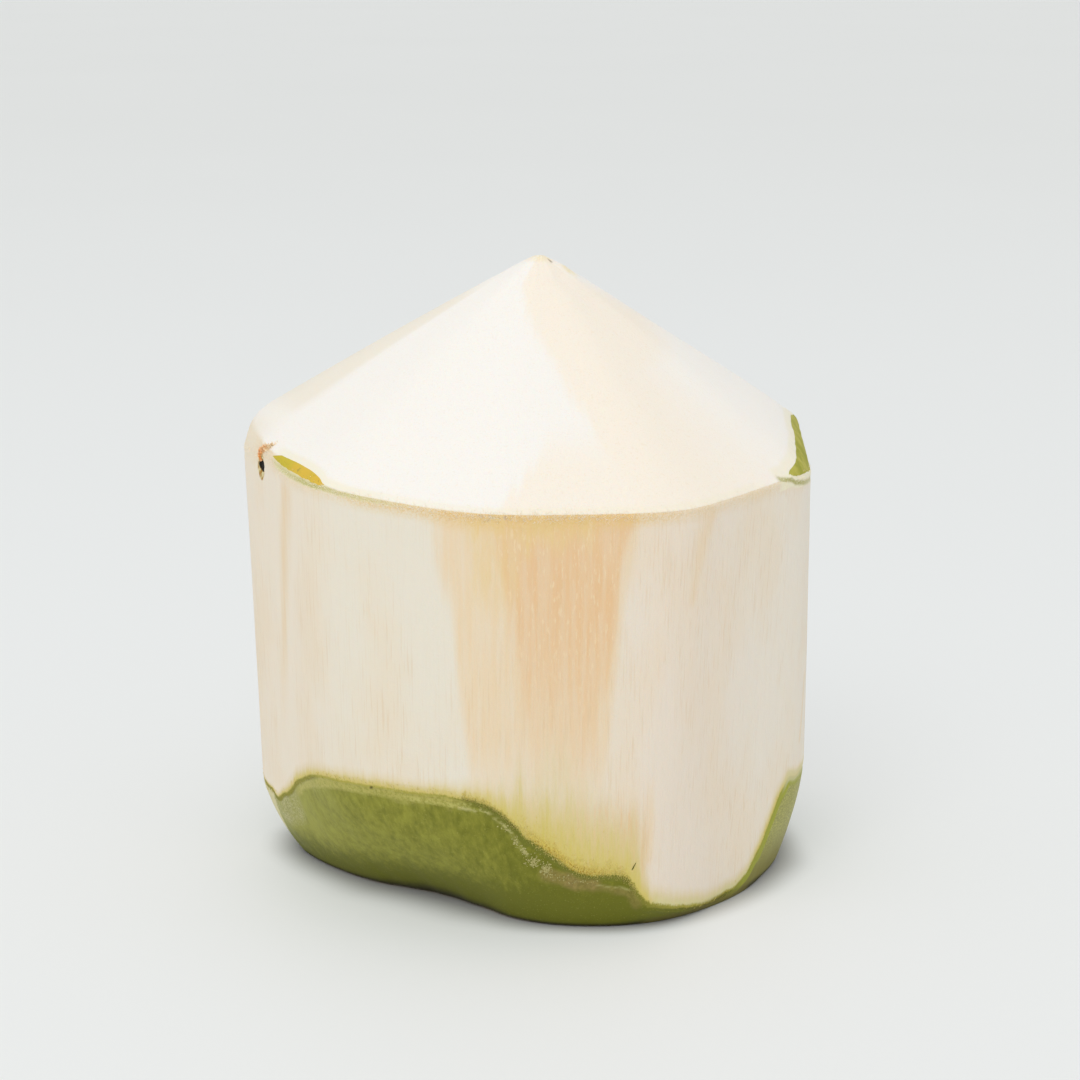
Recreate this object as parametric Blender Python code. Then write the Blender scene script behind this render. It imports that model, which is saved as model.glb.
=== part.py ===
# A young coconut trimmed for drinking. The husk is peeled straight down all round, cut to a
# cone on top and cut flat underneath, and green skin is left where the knife didn't reach.
# Metres, +Z up. The origin is on the floor under the tip of the cone. Azimuths are in degrees
# counter-clockwise from +X, and the front of the coconut is at 270.

import math

import bmesh
import bpy
import numpy as np

# Overall sizes
TIP_HEIGHT = 0.1334
TIP_SPARE = 0.001        # how far the cone's own point would stand above the blunt tip
CONE_BULGE = 0.0006      # how much the cone swells halfway up
MIDDLE_HEIGHT = 0.045    # where the side cuts are measured
KNIFE_EDGE = 0.0005      # least height of the chamfer between a side cut and the cone

# Side cuts: azimuth, distance from the axis at middle height, lean outwards over that height
SIDE_CUTS = (
    (204, 0.0579, 0.0015),
    (243, 0.0576, 0.0011),
    (280, 0.0556, 0.0010),
    (319, 0.0540, 0.0026),
    (358, 0.0584, -0.0002),
    (40, 0.0585, 0.0010),
    (80, 0.0575, 0.0010),
    (120, 0.0585, 0.0010),
    (162, 0.0628, 0.0015),
)
CORNER_POWER = 22        # higher makes the corners between the side cuts sharper

# Height of the shoulder, where the cone begins: azimuth, height
SHOULDER = (
    (5, 0.0950), (22, 0.0944), (60, 0.0948), (110, 0.0958), (155, 0.0974), (182, 0.0966),
    (205, 0.0942), (225, 0.0918), (245, 0.0906), (262, 0.0899), (283, 0.0893), (296, 0.0890),
    (308, 0.0892), (322, 0.0899), (338, 0.0905), (350, 0.0924),
)
SHOULDER_EASING = 10

# Where a piece of the natural crown is left under the cone: azimuth, height at which it starts.
# Anything above the shoulder means that none is left there.
CROWN = (
    (328, 0.1000), (333, 0.0899), (337, 0.0893), (341, 0.0891), (347, 0.0886), (354, 0.0880),
    (5, 0.0875), (15, 0.0890), (26, 0.1000),
    (80, 0.1000), (92, 0.0925), (104, 0.0915), (118, 0.0925), (130, 0.1000),
    (158, 0.1000), (167, 0.0930), (176, 0.0915), (188, 0.0920), (196, 0.0932), (203, 0.0922),
    (209, 0.0917), (214, 0.0916), (224, 0.0915), (236, 0.1000),
)
# How much the crown leans in from its start: azimuth, millimetres for each millimetre of height
CROWN_TILT = (
    (333, 0.42), (341, 0.40), (347, 0.30), (354, 0.12), (5, 0.05), (20, 0.10), (150, 0.10),
    (168, 0.22), (182, 0.24), (190, 0.15), (196, 0.10), (203, 0.18), (209, 0.40), (214, 0.59),
    (219, 0.76), (223, 0.72), (229, 0.30),
)
CROWN_CURVE = 20         # in 1/m, the crown turns in further by this times the height squared

# Upper edge of the green skin that the side cuts leave: azimuth, height
SKIN_TOP = (
    (14, 0.0240), (28, 0.0222), (40, 0.0130), (50, 0.0080), (60, 0.0085), (70, 0.0140), (84, 0.0225),
    (102, 0.0280), (122, 0.0300), (145, 0.0260), (165, 0.0200), (176, 0.0170), (184, 0.0156),
    (190, 0.0160), (193, 0.0172), (197, 0.0193), (201, 0.0220), (206, 0.0250), (211, 0.0271),
    (215, 0.0287), (221, 0.0305), (227, 0.0314), (236, 0.0317), (250, 0.0321), (257, 0.0312),
    (260, 0.0302), (263, 0.0278), (265.5, 0.0255), (266.5, 0.0224), (269, 0.0204), (273, 0.0175),
    (277, 0.0144), (280, 0.0132), (289, 0.0124), (290.5, 0.0105), (291.5, 0.0080), (294, 0.0058),
    (298, 0.0044), (302, 0.0033), (306, 0.0022), (312, 0.0012), (318, 0.0012), (324, 0.0018),
    (328, 0.0038), (332, 0.0082), (335, 0.0135), (338, 0.0182), (342, 0.0220), (346, 0.0228),
)
SKIN_TUCK = 0.6          # how strongly the skin bends in under the fruit, from 0 to 1

# Outline of the flat base, which follows the fruit's three lobes: azimuth, reach
FOOT = (
    (20, 0.0530), (55, 0.0540), (72, 0.0510), (84, 0.0465), (95, 0.0430), (112, 0.0390), (132, 0.0420),
    (152, 0.0490), (170, 0.0540), (181, 0.0530), (190, 0.0492), (199, 0.0457), (214, 0.0407),
    (222, 0.0377), (231, 0.0360), (242, 0.0364), (253, 0.0392), (260, 0.0427), (266, 0.0448),
    (275, 0.0472), (288, 0.0499), (300, 0.0510), (320, 0.0510), (340, 0.0515), (352, 0.0525),
)
FOOT_STEP = 0.0004       # least width of the skin's tuck, so that the base keeps its own edge
TABLE_EASING = 2.5

# Split in the husk at the left end of the shoulder
SPLIT_AZIMUTH = 192.7
SPLIT_HEIGHT = 0.0903
SPLIT_SIZES = (0.0018, 0.0014, 0.0030)   # half depth, half width and half height

# Mesh: segments around, and rows up each stretch of the outline
AROUND = 96
SKIN_ROWS = 6
SIDE_ROWS = 7
CROWN_ROWS = 3
CONE_ROWS = 9
TIP_CROWDING = 1.6       # above 1 gathers the cone's rows near the tip
ROWS = 1 + SKIN_ROWS + SIDE_ROWS + CROWN_ROWS + CONE_ROWS
SHARP_ANGLE = 20


def around(azimuth, table, easing):
    """Value of a closed table of (azimuth, value), with its corners eased over this many degrees."""
    places = [place for place, value in table]
    values = [value for place, value in table]
    shifts = np.linspace(-easing, easing, 7)
    return np.mean([np.interp(azimuth + shift, places, values, period=360) for shift in shifts], axis=0)


def side_reach(azimuth, height):
    """Distance from the axis to the side cuts, a polygon with softened corners."""
    nearness = 0
    for cut_azimuth, distance, lean in SIDE_CUTS:
        facing = np.maximum(np.cos(np.radians(azimuth - cut_azimuth)), 0)
        cut_distance = distance + lean * (height - MIDDLE_HEIGHT) / MIDDLE_HEIGHT
        nearness = nearness + (facing / cut_distance) ** CORNER_POWER
    return nearness ** (-1 / CORNER_POWER)


def skin_reach(azimuth, share):
    """Distance to the green skin at this share of its height, from the base out to the side cut."""
    top = around(azimuth, SKIN_TOP, TABLE_EASING)
    foot = np.minimum(around(azimuth, FOOT, TABLE_EASING), side_reach(azimuth, 0) - FOOT_STEP)
    rise = (1 + SKIN_TUCK) * share - SKIN_TUCK * share**2
    return foot + (side_reach(azimuth, top) - foot) * rise


def crown_start(azimuth):
    return np.minimum(around(azimuth, CROWN, TABLE_EASING), shoulder(azimuth) - KNIFE_EDGE)


def crown_reach(azimuth, height):
    """Distance to the natural crown, which turns in above the side cuts."""
    start = crown_start(azimuth)
    above = height - start
    tilt = around(azimuth, CROWN_TILT, TABLE_EASING)
    return side_reach(azimuth, start) - tilt * above - CROWN_CURVE * above**2


def shoulder(azimuth):
    return around(azimuth, SHOULDER, SHOULDER_EASING)


def cone_reach(azimuth, height):
    """Distance to the cone: straight lines from the shoulder to the tip, a little swollen, and blunt."""
    point = TIP_HEIGHT + TIP_SPARE
    length = point - shoulder(azimuth)
    below_point = (point - height) / length
    spare = TIP_SPARE / length
    blunt = np.sqrt(np.maximum(below_point**2 - spare**2, 0) / (1 - spare**2))
    swell = CONE_BULGE * 4 * below_point * (1 - below_point)
    return side_reach(azimuth, shoulder(azimuth)) * blunt + np.where(blunt > 0, swell, 0)


def cone_start(azimuth):
    """Height at which the cone takes over from the crown, found by halving."""
    low = crown_start(azimuth)
    high = low + 0.02
    for _ in range(30):
        middle = (low + high) / 2
        still_crown = (middle < shoulder(azimuth)) | (cone_reach(azimuth, middle) > crown_reach(azimuth, middle))
        low = np.where(still_crown, middle, low)
        high = np.where(still_crown, high, middle)
    return low


def outline(azimuth):
    """Reach and height of every row at these azimuths, from the middle of the base up to the tip."""
    skin_top = around(azimuth, SKIN_TOP, TABLE_EASING)
    crown = crown_start(azimuth)
    edge = cone_start(azimuth)
    reaches = [0 * azimuth]
    heights = [0 * azimuth]
    for share in np.linspace(0, 1, SKIN_ROWS + 1):
        reaches.append(skin_reach(azimuth, share))
        heights.append(skin_top * share)
    for share in np.linspace(0, 1, SIDE_ROWS + 1)[1:]:
        height = skin_top + (crown - skin_top) * share
        reaches.append(side_reach(azimuth, height))
        heights.append(height)
    for share in np.linspace(0, 1, CROWN_ROWS + 1)[1:]:
        height = crown + (edge - crown) * share
        reaches.append(crown_reach(azimuth, height))
        heights.append(height)
    for share in 1 - (1 - np.linspace(0, 1, CONE_ROWS + 1)[1:]) ** TIP_CROWDING:
        height = edge + (TIP_HEIGHT - edge) * share
        reaches.append(cone_reach(azimuth, height))
        heights.append(height)
    return np.array(reaches), np.array(heights)


def material(name, colour, roughness):
    made = bpy.data.materials.new(name)
    made.use_nodes = True
    shader = made.node_tree.nodes["Principled BSDF"]
    shader.inputs["Base Color"].default_value = (*colour, 1)
    shader.inputs["Roughness"].default_value = roughness
    shader.inputs["Metallic"].default_value = 0
    made.diffuse_color = (*colour, 1)
    return made


def collection(name):
    made = bpy.data.collections.new(name)
    bpy.context.scene.collection.children.link(made)
    return made


def add_object(name, bm, into):
    mesh = bpy.data.meshes.new(name)
    bm.to_mesh(mesh)
    bm.free()
    made = bpy.data.objects.new(name, mesh)
    into.objects.link(made)
    return made


def add_coconut(into):
    """A sphere whose rows are drawn out onto the coconut's outline, with the skin's faces marked."""
    bm = bmesh.new()
    bmesh.ops.create_uvsphere(bm, u_segments=AROUND, v_segments=ROWS, radius=1)
    bm.verts.index_update()
    place = np.array([vert.co for vert in bm.verts])
    azimuth = np.degrees(np.arctan2(place[:, 1], place[:, 0]))
    row = np.round(ROWS * (1 - np.arccos(np.clip(place[:, 2], -1, 1)) / math.pi)).astype(int)
    reaches, heights = outline(azimuth)
    for vert in bm.verts:
        i = vert.index
        reach = reaches[row[i], i]
        turn = math.radians(azimuth[i])
        vert.co = (reach * math.cos(turn), reach * math.sin(turn), heights[row[i], i])
    for face in bm.faces:
        rows = [row[vert.index] for vert in face.verts]
        low_skin = min(rows) >= 1 and max(rows) <= 1 + SKIN_ROWS
        face.material_index = 1 if low_skin else 0
    coconut = add_object("coconut", bm, into)
    coconut.data.materials.append(material("peeled_husk", (0.82, 0.72, 0.56), 0.75))
    coconut.data.materials.append(material("green_skin", (0.22, 0.23, 0.05), 0.4))
    coconut.data.shade_smooth()
    coconut.data.set_sharp_from_angle(angle=math.radians(SHARP_ANGLE))
    return coconut


def add_split(coconut, into):
    """Cuts the small pit that the knife left at one end of the shoulder."""
    bm = bmesh.new()
    bmesh.ops.create_icosphere(bm, subdivisions=2, radius=1)
    bmesh.ops.scale(bm, vec=SPLIT_SIZES, verts=bm.verts)
    cutter = add_object("split_cutter", bm, into)
    turn = math.radians(SPLIT_AZIMUTH)
    reach = float(side_reach(np.float64(SPLIT_AZIMUTH), SPLIT_HEIGHT))
    cutter.location = (reach * math.cos(turn), reach * math.sin(turn), SPLIT_HEIGHT)
    cutter.rotation_euler = (0, 0, turn)
    cutter.hide_render = True
    cutter.display_type = "WIRE"
    cut = coconut.modifiers.new("split", "BOOLEAN")
    cut.operation = "DIFFERENCE"
    cut.object = cutter


for old in list(bpy.data.objects):
    bpy.data.objects.remove(old)
parts = collection("trimmed_young_coconut")
cutters = collection("cutters")
add_split(add_coconut(parts), cutters)
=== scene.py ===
import math

import bpy
import numpy as np
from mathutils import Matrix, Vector


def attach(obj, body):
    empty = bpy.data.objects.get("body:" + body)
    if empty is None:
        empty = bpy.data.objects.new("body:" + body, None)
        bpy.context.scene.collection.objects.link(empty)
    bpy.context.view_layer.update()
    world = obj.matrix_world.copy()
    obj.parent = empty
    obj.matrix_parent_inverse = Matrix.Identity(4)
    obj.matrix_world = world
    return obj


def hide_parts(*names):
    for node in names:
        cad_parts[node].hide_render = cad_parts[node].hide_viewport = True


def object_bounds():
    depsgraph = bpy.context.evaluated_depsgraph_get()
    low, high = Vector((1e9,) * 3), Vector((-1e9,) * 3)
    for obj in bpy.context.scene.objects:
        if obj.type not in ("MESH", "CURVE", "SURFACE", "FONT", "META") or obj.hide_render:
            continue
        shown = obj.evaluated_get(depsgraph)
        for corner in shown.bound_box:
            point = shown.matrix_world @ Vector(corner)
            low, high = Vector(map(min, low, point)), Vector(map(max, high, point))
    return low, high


# A young coconut trimmed for drinking: white husk peeled in broad knife cuts, a cone on top,
# glossy green skin left low down. Metres and +Z up; azimuths are in degrees counter-clockwise
# from +X, and the front of the coconut is at 270.

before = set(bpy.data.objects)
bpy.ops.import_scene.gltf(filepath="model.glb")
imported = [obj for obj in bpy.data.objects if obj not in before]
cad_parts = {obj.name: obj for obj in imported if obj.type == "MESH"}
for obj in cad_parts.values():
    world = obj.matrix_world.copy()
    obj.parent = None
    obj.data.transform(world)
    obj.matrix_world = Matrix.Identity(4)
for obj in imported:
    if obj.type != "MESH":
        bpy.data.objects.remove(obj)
cadLow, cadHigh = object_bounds()      # the box that everything here stays inside
print("frame loaded:", sorted(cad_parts))


# Shape of the husk

huskShape = dict(
    tipHeight=0.1334,
    tipSpare=0.001,                # how far the cone's own point would stand above the blunt tip
    coneBulge=0.0006,
    middleHeight=0.045,            # where the side cuts are measured
    knifeEdge=0.0005,
    cornerPower=22,                # higher makes the corners between side cuts sharper
    crownCurve=20,                 # in 1/m, the crown turns in by this times the height squared
    skinTuck=0.6,                  # how strongly the skin bends in under the fruit
    footStep=0.0004,
    # side cuts: azimuth, distance from the axis, lean outwards over the middle height
    sideCuts=((204, 0.0579, 0.0015), (243, 0.0576, 0.0011), (280, 0.0556, 0.0010), (319, 0.0540, 0.0026),
              (358, 0.0584, -0.0002), (40, 0.0585, 0.0010), (80, 0.0575, 0.0010), (120, 0.0585, 0.0010),
              (162, 0.0628, 0.0015)),
    # azimuth and height of the line where the cone begins
    shoulder=((5, 0.0950), (22, 0.0944), (60, 0.0948), (110, 0.0958), (155, 0.0974), (182, 0.0966),
              (205, 0.0942), (225, 0.0918), (245, 0.0906), (262, 0.0899), (283, 0.0893), (296, 0.0890),
              (308, 0.0892), (322, 0.0899), (338, 0.0905), (350, 0.0924)),
    # azimuth and height where a piece of the natural crown is left; above the shoulder means none
    crown=((328, 0.1000), (333, 0.0899), (337, 0.0893), (341, 0.0891), (347, 0.0886), (354, 0.0880),
           (5, 0.0875), (15, 0.0890), (26, 0.1000), (80, 0.1000), (92, 0.0925), (104, 0.0915), (118, 0.0925),
           (130, 0.1000), (158, 0.1000), (167, 0.0930), (176, 0.0915), (188, 0.0920), (196, 0.0932),
           (203, 0.0922), (209, 0.0917), (214, 0.0916), (224, 0.0915), (236, 0.1000)),
    # azimuth and how much the crown leans in, in metres for each metre of height
    crownTilt=((333, 0.42), (341, 0.40), (347, 0.30), (354, 0.12), (5, 0.05), (20, 0.10), (150, 0.10),
               (168, 0.22), (182, 0.24), (190, 0.15), (196, 0.10), (203, 0.18), (209, 0.40), (214, 0.59),
               (219, 0.76), (223, 0.72), (229, 0.30)),
    # azimuth and height of the upper edge of the green skin
    skinTop=((14, 0.0240), (28, 0.0222), (40, 0.0130), (50, 0.0080), (60, 0.0085), (70, 0.0140), (84, 0.0225),
             (102, 0.0280), (122, 0.0300), (145, 0.0260), (165, 0.0200), (176, 0.0170), (184, 0.0156),
             (190, 0.0160), (193, 0.0172), (197, 0.0193), (201, 0.0220), (206, 0.0250), (211, 0.0271),
             (215, 0.0287), (221, 0.0305), (227, 0.0314), (236, 0.0317), (250, 0.0321), (257, 0.0312),
             (260, 0.0302), (263, 0.0278), (265.5, 0.0255), (266.5, 0.0224), (269, 0.0204), (273, 0.0175),
             (277, 0.0144), (280, 0.0132), (289, 0.0124), (290.5, 0.0105), (291.5, 0.0080), (294, 0.0058),
             (298, 0.0044), (302, 0.0033), (306, 0.0022), (312, 0.0012), (318, 0.0012), (324, 0.0018),
             (328, 0.0038), (332, 0.0082), (335, 0.0135), (338, 0.0182), (342, 0.0220), (346, 0.0228)),
    # azimuth and reach of the flat base's outline
    foot=((20, 0.0530), (55, 0.0540), (72, 0.0510), (84, 0.0465), (95, 0.0430), (112, 0.0390), (132, 0.0420),
          (152, 0.0490), (170, 0.0540), (181, 0.0530), (190, 0.0492), (199, 0.0457), (214, 0.0407),
          (222, 0.0377), (231, 0.0360), (242, 0.0364), (253, 0.0392), (260, 0.0427), (266, 0.0448),
          (275, 0.0472), (288, 0.0499), (300, 0.0510), (320, 0.0510), (340, 0.0515), (352, 0.0525)),
)


# a closed table of (azimuth, value), read as the mean over a few degrees, which eases its corners
def readTable(azimuth, table, easing=2.5):
    places, values = np.array(table, float).T
    shifts = np.linspace(-easing, easing, 7)
    return np.mean([np.interp(azimuth + shift, places, values, period=360) for shift in shifts], axis=0)


# distance from the axis to the side cuts: a power mean of the flat cuts' distances rounds the corners
def sideReach(azimuth, height):
    nearness = 0
    for cutAzimuth, distance, lean in huskShape["sideCuts"]:
        facing = np.maximum(np.cos(np.radians(azimuth - cutAzimuth)), 0)
        cutDistance = distance + lean * (height / huskShape["middleHeight"] - 1)
        nearness = nearness + (facing / cutDistance) ** huskShape["cornerPower"]
    return nearness ** (-1 / huskShape["cornerPower"])


def readLine(value, table):        # an open table of (place, value), straight between its points
    return np.interp(value, *np.array(table, float).T)


def shoulderHeight(azimuth):
    return readTable(azimuth, huskShape["shoulder"], 10)


def skinTopHeight(azimuth):
    return readTable(azimuth, huskShape["skinTop"])


def crownStart(azimuth):
    highest = shoulderHeight(azimuth) - huskShape["knifeEdge"]
    return np.minimum(readTable(azimuth, huskShape["crown"]), highest)


# distance to the green skin at a share of its height: a parabola from the foot out to the side cut
def skinReach(azimuth, share):
    outer = sideReach(azimuth, skinTopHeight(azimuth))
    foot = np.minimum(readTable(azimuth, huskShape["foot"]), sideReach(azimuth, 0) - huskShape["footStep"])
    tuck = huskShape["skinTuck"]
    return foot + (outer - foot) * ((1 + tuck) * share - tuck * share**2)


# distance to the natural crown: it leans in from the side cut, and turns in with the height squared
def crownReach(azimuth, height):
    above = height - crownStart(azimuth)
    lean = readTable(azimuth, huskShape["crownTilt"]) * above + huskShape["crownCurve"] * above**2
    return sideReach(azimuth, crownStart(azimuth)) - lean


# distance to the cone: straight from the shoulder to the tip, with a small swell, and blunt like a hyperbola
def coneReach(azimuth, height):
    point = huskShape["tipHeight"] + huskShape["tipSpare"]
    length = point - shoulderHeight(azimuth)
    below = (point - height) / length
    spare = huskShape["tipSpare"] / length
    blunt = np.sqrt(np.maximum(below**2 - spare**2, 0) / (1 - spare**2))
    swell = huskShape["coneBulge"] * 4 * below * (1 - below)
    return sideReach(azimuth, shoulderHeight(azimuth)) * blunt + np.where(blunt > 0, swell, 0)


# height at which the cone takes over from the crown, found by halving
def coneStart(azimuth):
    low = crownStart(azimuth)
    high = low + 0.02
    for _ in range(30):
        middle = (low + high) / 2
        coneOutside = coneReach(azimuth, middle) > crownReach(azimuth, middle)
        still = (middle < shoulderHeight(azimuth)) | coneOutside
        low = np.where(still, middle, low)
        high = np.where(still, high, middle)
    return low


# Small tools for fields over the surface

def smooth(value):                 # 0 below 0, 1 above 1, eased between
    value = np.clip(value, 0, 1)
    return value * value * (3 - 2 * value)


def window(value, low, high, soft):    # 1 between low and high, easing to 0 over soft on both sides
    return smooth((value - low) / soft + 1) * smooth((high - value) / soft + 1)


def turnFrom(azimuth, middle):     # signed degrees from a middle azimuth
    return (azimuth - middle + 180) % 360 - 180


# smooth random patches: a seeded table, one number to a patch, with eased blends between neighbours
def patches(azimuth, height, degrees, rise, seed):
    columns = max(3, round(360 / degrees))
    rows = int(0.2 / rise) + 4
    table = np.random.default_rng(seed).uniform(-1, 1, (rows, columns))
    across = azimuth / 360 * columns
    upward = height / rise + 1
    column, row = np.floor(across).astype(int), np.floor(upward).astype(int)
    a, b = smooth(across - column), smooth(upward - row)
    column, row = column % columns, row % rows
    nextColumn, nextRow = (column + 1) % columns, (row + 1) % rows
    lower = table[row, column] * (1 - a) + table[row, nextColumn] * a
    upper = table[nextRow, column] * (1 - a) + table[nextRow, nextColumn] * a
    return lower * (1 - b) + upper * b


# how near a place is to a line of (azimuth, height) points, in metres: the least distance to its pieces
def distanceToLine(azimuth, height, line, reach=0.056):
    across = np.radians(turnFrom(azimuth, 270)) * reach
    points = [(math.radians(turnFrom(a, 270)) * reach, h) for a, h in line]
    nearest = np.full(np.broadcast(across, height).shape, 1.0)
    for (x0, y0), (x1, y1) in zip(points[:-1], points[1:]):
        dx, dy = x1 - x0, y1 - y0
        share = np.clip(((across - x0) * dx + (height - y0) * dy) / (dx * dx + dy * dy), 0, 1)
        nearest = np.minimum(nearest, np.hypot(across - x0 - share * dx, height - y0 - share * dy))
    return nearest


# The coconut's surface

surface = dict(
    columns=516,
    baseShares=(0.3, 0.55, 0.75, 0.88, 0.95, 0.985),
    skinRows=32,
    sideRows=82,
    crownRows=14,
    coneRows=46,
    crowding=0.74,                 # how strongly rows gather at both ends of a stretch
    sideWave=0.00016,              # broad unevenness of the knife cuts
    coneWave=0.00016,
    skinLump=0.00016,
    inset=0.00008,                 # keeps the waves close to the solid
    # denser columns: from and to azimuth, softness, and how many more there are to the degree
    denser=((196, 350, 8, 0.3), (190.5, 195, 1.5, 3.4), (331, 347, 2, 0.8)),
    # rounds of easing at every edge, at the left end of the shoulder and at its right end
    easings=(7, 46, 110),
)


# azimuths of the grid's columns: more to the degree at the front, and many at the split and the right sliver
def columnAzimuths():
    fine = np.arange(0, 360, 0.05)
    density = 1 + 0 * fine
    for low, high, soft, more in surface["denser"]:
        density = density + more * window(fine, low, high, soft)
    along = np.concatenate([[0], np.cumsum(density)])
    wanted = np.arange(surface["columns"]) / surface["columns"] * along[-1]
    return np.interp(wanted, along, np.append(fine, 360))


def crowded(count):                # shares from 0 to 1, closer together at both ends
    share = np.linspace(0, 1, count + 1)[1:]
    return share - surface["crowding"] * np.sin(2 * np.pi * share) / (2 * np.pi)


# rows of the grid from the middle of the base up to the tip: reach and height of each, for all columns,
# and a number that says where on the fruit the row is: 0 base, 1 skin, 2 side, 3 crown, 4 cone
def surfaceRows(azimuth):
    top, crown, edge = skinTopHeight(azimuth), crownStart(azimuth), coneStart(azimuth)
    reaches, heights, stretches = [], [], []

    def addRow(reach, height, stretch):
        reaches.append(reach + 0 * azimuth)
        heights.append(height + 0 * azimuth)
        stretches.append(stretch)

    for share in surface["baseShares"]:
        addRow(skinReach(azimuth, 0) * share, 0, 0)
    addRow(skinReach(azimuth, 0), 0, 0)
    for share in crowded(surface["skinRows"]):
        addRow(skinReach(azimuth, share), top * share, share)
    for share in crowded(surface["sideRows"]):
        height = top + (crown - top) * share
        addRow(sideReach(azimuth, height), height, 1 + share)
    for share in np.linspace(0, 1, surface["crownRows"] + 1)[1:]:
        height = crown + (edge - crown) * share
        addRow(crownReach(azimuth, height), height, 2 + share)
    for share in crowded(surface["coneRows"])[:-1]:
        height = edge + (huskShape["tipHeight"] - edge) * share
        addRow(coneReach(azimuth, height), height, 3 + share)
    return np.array(reaches), np.array(heights), np.array(stretches)


# rounds the profile's edges: near an edge each row moves part of the way to the mean of its neighbours,
# and does so more often at both ends of the shoulder, which are worn round
def easeEdges(azimuth, reach, height, stretch):
    shoulder = window(stretch, 1.985, 3.012, 0.02)
    foot = window(stretch, 0, 0.012, 0.02) * (np.arange(len(stretch)) >= 4)
    weight = np.maximum(shoulder, 0.8 * foot)[1:-1, None] + 0 * azimuth
    left = window(stretch, 1.972, 3.03, 0.03)[1:-1, None] * window(azimuth, 160, 189.5, 5)
    right = window(stretch, 2.10, 3.10, 0.05)[1:-1, None] * window(turnFrom(azimuth, 0), -14, 24, 7)
    everywhere, leftRounds, rightRounds = surface["easings"]
    for step in range(rightRounds):
        share = weight if step < everywhere else np.maximum(left * (step < leftRounds), right)
        for values in (reach, height):
            mean = (values[:-2] + 2 * values[1:-1] + values[2:]) / 4
            values[1:-1] += share * (mean - values[1:-1])


# outward normals of a grid of points: the cross product of the steps around and the steps up
def gridNormals(points):
    around = np.roll(points, -1, axis=1) - np.roll(points, 1, axis=1)
    upward = np.gradient(points, axis=0)
    normal = np.cross(around, upward)
    return normal / np.maximum(np.linalg.norm(normal, axis=2, keepdims=True), 1e-12)


# fine pale lines where the peel's bevel ends on the skin, and the crusty scab: azimuth, height
scabLine = ((253.4, 0.0284), (257.7, 0.0282), (259.9, 0.0273), (261.4, 0.0262), (263, 0.0250),
            (263.9, 0.0240), (264.5, 0.0226), (265.4, 0.0211), (266.7, 0.0196), (267.3, 0.0185))
innerLine = ((212, 0.0240), (214.6, 0.0245), (219.1, 0.0263), (221.5, 0.0270), (230, 0.0284), (239, 0.0301),
             (242.2, 0.0287), (249, 0.0284), (254.1, 0.0291), (256.6, 0.0291))
wavyLine = ((282.4, 0.0113), (285.6, 0.0105), (287.5, 0.0106), (289.5, 0.0096))
scabPatch = ((271.5, 0.0140), (274, 0.0130), (278, 0.0117), (281.5, 0.0113))
scabTail = ((281.5, 0.0108), (286, 0.0098), (289.5, 0.0088), (291.0, 0.0066), (291.6, 0.0055))
split = dict(azimuth=192.5, middle=0.0904, reach=0.0605, depth=0.0006,
             hole=(0.0025, 0.0016), slot=(0.0025, 0.0036))             # half width and half height


# the split: an oval hole in a taller narrow slot, each 1 in the middle and easing to 0 at its ragged rim
def splitShapes(azimuth, height):
    across = np.radians(turnFrom(azimuth, split["azimuth"])) * split["reach"]
    across = across + 0.00025 * patches(azimuth, height, 3, 0.0016, 71)
    shapes = []
    for halfWidth, halfHeight in (split["hole"], split["slot"]):
        ragged = 1 + 0.22 * patches(azimuth, height, 0.9, 0.0009, 72)
        inside = 1 - (across / halfWidth) ** 2 * ragged - ((height - split["middle"]) / halfHeight) ** 2
        shapes.append(smooth(1.5 * inside))
    return shapes


# tables of (azimuth, value) along the skin
skinMarks = dict(
    # millimetres by which the colour's edge is lower on the front left
    edgeDrop=((212, 0), (226, 1.0), (250, 1.0), (256, 0.7), (262, 0.3), (268, 0)),
    # millimetres over which the yellow wash above the skin fades
    washWidth=((0, 1.2), (40, 1.4), (120, 1.2), (184, 0.5), (192, 0.9), (204, 1.6), (232, 1.9), (246, 1.9),
               (254, 2.4), (262, 3.2), (266, 4.4), (269, 8.0), (273, 11.0), (282, 11.0), (288, 8.0),
               (291, 3.0), (297, 2.2), (318, 1.8), (330, 1.3), (345, 1.4)),
    # how dark the cut fringe is, from 0 to 1
    fringeDark=((0, 0.4), (60, 0.6), (120, 0.5), (182, 0.8), (190, 0.7), (194, 0.2), (206, 0.3), (214, 0.1),
                (236, 0.1), (246, 0.3), (253, 0.8), (258, 1.0), (282, 1.0), (290, 0.9), (297, 0.5),
                (303, 0.2), (318, 0.0), (330, 0.1), (345, 0.1)),
    # how far the wash strays up along the fibres
    stray=((180, 0.6), (250, 0.7), (262, 0.9), (271, 0.9), (280, 1.2), (296, 0.7), (340, 0.6)),
    # 0 for light skin and 1 for dark
    skinShade=((0, 0.35), (60, 0.5), (120, 0.55), (190, 0.12), (204, 0.20), (216, 0.38), (236, 0.48),
               (258, 0.6), (270, 0.82), (285, 0.84), (300, 0.84), (325, 0.6), (336, 0.1), (350, 0.1)),
    # millimetres of dark foot, which is dirt and painted shade along the floor
    foot=((0, 1.2), (170, 1.2), (200, 1.3), (212, 1.9), (222, 3.2), (232, 4.2), (243, 3.8), (252, 2.6),
          (262, 1.8), (275, 1.3), (292, 1.3), (298, 2.0), (304, 2.6), (325, 2.5), (331, 1.8), (340, 1.4)),
    # painted shade: the skin darker low down, where it tucks in under the fruit
    lowPaintedShade=((250, 0.75), (275, 0.35)),       # darkening of the lowest 13 mm
    innerShare=((212, 0.35), (236, 0.5), (244, 1)),
    cutRight=((3, 160), (6, 184.4), (9, 185.6), (12, 186.6), (16, 188.0)),     # height in mm, azimuth
)


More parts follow.
